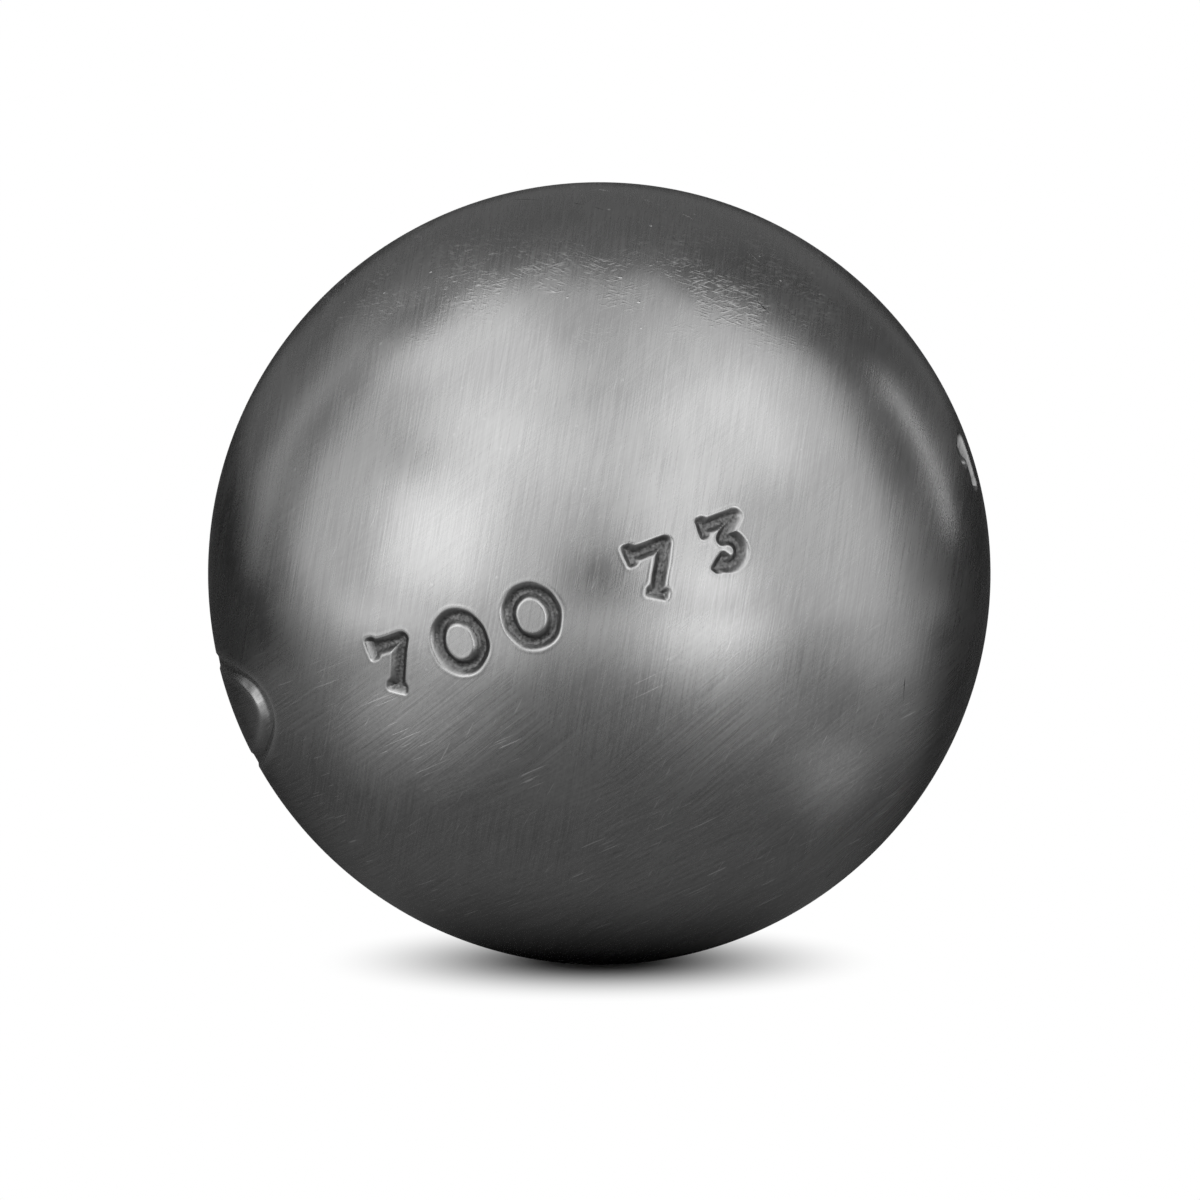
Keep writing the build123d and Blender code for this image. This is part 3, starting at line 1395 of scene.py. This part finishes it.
@dataclass
class Studio:
    """Pale floor, mat with bright spots and a painted shadow of the ball, soft lamps, matt drapes and the
    camera; mat and drapes glow, seen only in the ball's shine.
    """

    ball: Ball
    floor_size: float = 12.0
    floor_colour: float = 0.6
    shadow_reach: Pair = (4 * MM, 27 * MM)
    mat_radius: float = 0.75
    mat_segments: int = 96
    mat_lift: float = 0.02 * MM
    mat_middle: Triple = (0.0, 0.25, 0.0)
    mat_fade: Pair = (0.26, 0.55)
    mat_tone: float = 0.164
    # Painted shadow of the ball on the mat: darker behind the ball, and dark round its foot
    mat_back_shade_tone: float = 0.04
    mat_back_shade: Pair = (-22 * MM, 45 * MM)
    mat_foot_shadow: Pair = (8 * MM, 27 * MM)
    mat_peak: float = 0.9
    mat_side: Pair = (-0.06, 0.10)
    soft_level: float = 0.3
    sensor_width: float = 36.0
    camera_elevation: float = 6.0
    camera_distance: float = 0.9
    ball_radius_px: float = 391.5
    ball_centre_px: Pair = (599.3, 573.5)
    glows: tuple[Glow, ...] = (
        Glow(-75.0, 0.38, (0.165, 0.215), 0.25),
        Glow(-62.0, 0.28, (0.05, 0.12), 1.1),
        Glow(-70.0, 0.15, (0.01, 0.07), 0.3),
        Glow(-104.0, 0.10, (0.005, 0.06), 0.14),
        Glow(-35.0, 0.16, (0.01, 0.07), 1.05),
        Glow(-50.0, 0.085, (0.005, 0.05), 0.55),
        Glow(5.0, 0.30, (0.04, 0.11), 0.35),
        Glow(32.0, 0.24, (0.03, 0.11), 2.0),
        Glow(27.0, 0.145, (0.01, 0.07), 1.0),
        Glow(65.0, 0.052, (0.003, 0.019), 0.3),
        Glow(70.0, 0.14, (0.005, 0.06), 0.4),
        Glow(40.0, 0.085, (0.005, 0.05), 0.25),
        Glow(88.0, 0.36, (0.15, 0.20), 0.5),
        Glow(88.0, 0.15, (0.01, 0.07), 0.55),
        Glow(85.0, 0.085, (0.005, 0.05), 0.2),
    )
    cloths: tuple[Drape, ...] = (
        Drape("back_drape", (150, 210), (-6, 80), 0.70, 0.215),
        Drape("back_right_drape", (112, 150), (-6, 72), 0.70, 0.14),
        Drape("back_left_drape", (210, 235), (-6, 72), 0.70, 0.23),
        Drape("left_drape", (235, 262), (-6, 40), 0.70, 0.30),
        Drape("left_upper_drape", (235, 252), (40, 60), 0.70, 0.12),
        Drape("right_drape", (96, 112), (-6, 34), 0.70, 0.29),
        Drape("right_upper_drape", (104, 112), (34, 58), 0.70, 0.19),
        Drape("foot_drape", (120, 250), (-6, 6), 0.65, 0.02),
        Drape("rim_drape", (160, 200), (-6, 14), 0.66, 0.02),
        Drape("lens_drape", (-9, 9), (-3, 12), 0.85, 0.02),
        Drape("left_gap_drape", (-72, -58), (28, 37), 0.85, 0.5),
        Drape("right_gap_drape", (98, 111), (16, 28), 0.66, 0.10),
    )
    panels: tuple[Lamp, ...] = (
        Lamp("left_panel", -50, 24, 34, 50, 0.78),
        Lamp("left_front_panel", -48, 13, 30, 28, 0.55),
        Lamp("left_side_panel", -86, 12, 26, 26, 0.13),
        Lamp("left_high_panel", -66, 62, 48, 28, 0.65),
        Lamp("left_back_panel", -107, 44, 27, 28, 0.12),
        Lamp("left_inner_panel", -22, 24, 24, 46, 0.35),
        Lamp("middle_panel", 0, 42, 40, 26, 0.40),
        Lamp("right_inner_panel", 23, 16, 24, 34, 0.72),
        Lamp("right_panel", 44, 12, 24, 26, 0.14),
        Lamp("right_low_panel", 35, 2.5, 18, 9, 1.2),
        Lamp("right_side_panel", 76, 12, 28, 26, 0.21),
        Lamp("right_high_panel", 48, 42, 36, 30, 0.73),
        Lamp("right_side_high_panel", 76, 40, 28, 26, 0.38),
        Lamp("right_top_panel", 66, 64, 44, 26, 0.35),
        Lamp("right_strip", 124, 14.5, 3, 25, 2.7, 0.6),
        Lamp("left_strip", -118, 20, 8, 50, 0.55, 0.6),
        Lamp("left_high_strip", -132, 44, 12, 30, 0.20, 0.6),
    )

    @staticmethod
    def blank(obj: bpy.types.Object, name: str) -> Graph:
        """Give an object a new material.

        Args:
            obj: The object.
            name: Name of the material.

        Returns:
            The material's empty node tree.
        """
        made = bpy.data.materials.new(name)
        made.use_nodes = True
        obj.data.materials.append(made)
        return Graph(made.node_tree)

    @staticmethod
    def light_up(obj: bpy.types.Object, graph: Graph, strength: Value | float) -> None:
        """Let a stage piece glow, seen only in the shine of the ball.

        Args:
            obj: The piece.
            graph: Its node tree.
            strength: Light that it gives.
        """
        light = graph.node("ShaderNodeEmission", None, {"Strength": strength})
        graph.finish("ShaderNodeOutputMaterial", light)
        for kind in RayKind:
            setattr(obj, kind.value, kind is RayKind.GLOSSY)

    def floor(self) -> None:
        """Lay the floor, white away from the ball, where its shadow ends."""
        Bench.clear()
        bpy.ops.mesh.primitive_plane_add(size=self.floor_size, location=(0, 0, -self.ball.radius))
        obj = bpy.context.object
        obj.name = "floor"
        graph = self.blank(obj, "pale_floor")
        pale = graph.node("ShaderNodeBsdfDiffuse", None, {"Color": (*(self.floor_colour,) * 3, 1)})
        white = graph.node("ShaderNodeEmission", None, {"Color": (1, 1, 1, 1)})
        clear = graph.distance((0.0, 0.0, 0.0)).above(*self.shadow_reach) * graph.seen_rays()
        mix = graph.node("ShaderNodeMixShader", None, {0: clear, 1: pale, 2: white})
        graph.finish("ShaderNodeOutputMaterial", mix)

    def mat(self) -> None:
        """Lay the mat that the ball mirrors, dim but bright far towards the viewer and in its glows, with a
        painted shadow of the ball behind it and round its foot.
        """
        Bench.clear()
        bpy.ops.mesh.primitive_circle_add(
            vertices=self.mat_segments, radius=self.mat_radius, fill_type="NGON",
            location=(0, 0, -self.ball.radius + self.mat_lift))
        obj = bpy.context.object
        obj.name = "mat"
        graph = self.blank(obj, "dull_mat")
        fade = graph.distance(self.mat_middle).above(*self.mat_fade)
        place = graph.node("ShaderNodeTexCoord", output="Object")
        depth = graph.node("ShaderNodeSeparateXYZ", None, {0: place}, output="Y")
        # Painted shadow of the ball: the mat darkens behind the ball and goes dark round its foot
        dark = depth.above(*self.mat_back_shade).between(self.mat_tone, self.mat_back_shade_tone)
        dark = dark * graph.distance((0.0, 0.0, 0.0)).above(*self.mat_foot_shadow)
        strength = dark + self.mat_peak * fade * (1 - depth.above(*self.mat_side))
        for glow in self.glows:
            strength = strength + glow.strength(graph)
        self.light_up(obj, graph, strength)

    def drapes(self) -> None:
        """Hang the glowing sheets, in the place of matt cloths, that the ball mirrors."""
        for cloth in self.cloths:
            obj = cloth.hang()
            self.light_up(obj, self.blank(obj, cloth.name), cloth.tone)

    def lamps(self) -> None:
        """Hang the lamps."""
        for panel in self.panels:
            panel.hang()

    def world(self) -> None:
        """Make the plain white surroundings."""
        made = bpy.data.worlds.new("surroundings")
        made.use_nodes = True
        graph = Graph(made.node_tree)
        strength = graph.seen_rays().between(self.soft_level, 1.0)
        white = graph.node("ShaderNodeBackground", None, {"Color": (1, 1, 1, 1), "Strength": strength})
        graph.finish("ShaderNodeOutputWorld", white)
        bpy.context.scene.world = made

    def camera(self) -> None:
        """Set up the camera at the photograph's angle."""
        made = bpy.data.cameras.new("camera")
        made.sensor_width = self.sensor_width
        far = math.sqrt(self.camera_distance ** 2 - self.ball.radius ** 2)
        focal_px = self.ball_radius_px * far / self.ball.radius
        made.lens = focal_px * made.sensor_width / PHOTO_SIDE
        obj = bpy.data.objects.new("camera", made)
        bpy.context.collection.objects.link(obj)
        place = facing(direction(0, self.camera_elevation) * self.camera_distance)
        half = PHOTO_SIDE / 2
        turn = math.atan((self.ball_centre_px[0] - half) / focal_px)
        tilt = math.atan((half - self.ball_centre_px[1]) / focal_px)
        obj.matrix_world = place @ Euler((-tilt, turn, 0)).to_matrix().to_4x4()
        bpy.context.scene.camera = obj


def main() -> None:
    """Build the ball and its studio."""
    logging.basicConfig(level=logging.INFO, format="%(message)s")
    bpy.context.scene.view_settings.view_transform = "Standard"
    low, high = cad_box
    ball = Ball(radius=(high[2] - low[2]) / 2)
    front_row = Figures(text="700 73", turn=-6.6)
    set_number = Figures(text="1", turn=77.5, drop=2.0 * MM, stroke=2.0 * MM)
    skin_radius = ball.radius - front_row.edge.lip_height
    front_marks = [front_row, Oval(turn=-87.0)]
    front = HalfShell("front_shell", "front_half_shell", Side.FRONT, ball, front_marks, skin_radius)
    rear = HalfShell("rear_shell", "rear_half_shell", Side.REAR, ball, [set_number], skin_radius)
    bead = WeldBead("weld_ring", "weld_bead", ball, skin_radius)
    shell_steel = SatinSteel("satin_shell_steel", ball.lie()).material()
    weld_steel = SatinSteel("satin_weld_steel", ball.lie()).material()
    rows = (
        (front, "ball_steel", shell_steel),
        (rear, "ball_steel", shell_steel),
        (bead, "weld_steel", weld_steel),
    )
    for part, slot, steel in rows:
        piece = part.build()
        piece.data.materials.clear()
        piece.data.materials.append(steel)
        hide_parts(part.node)
        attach(piece, BODY)
        LOG.info("%s: %d faces", piece.name, len(piece.data.polygons))
    studio = Studio(ball)
    studio.floor()
    studio.mat()
    studio.drapes()
    studio.lamps()
    studio.world()
    studio.camera()


if __name__ == "__main__":
    main()
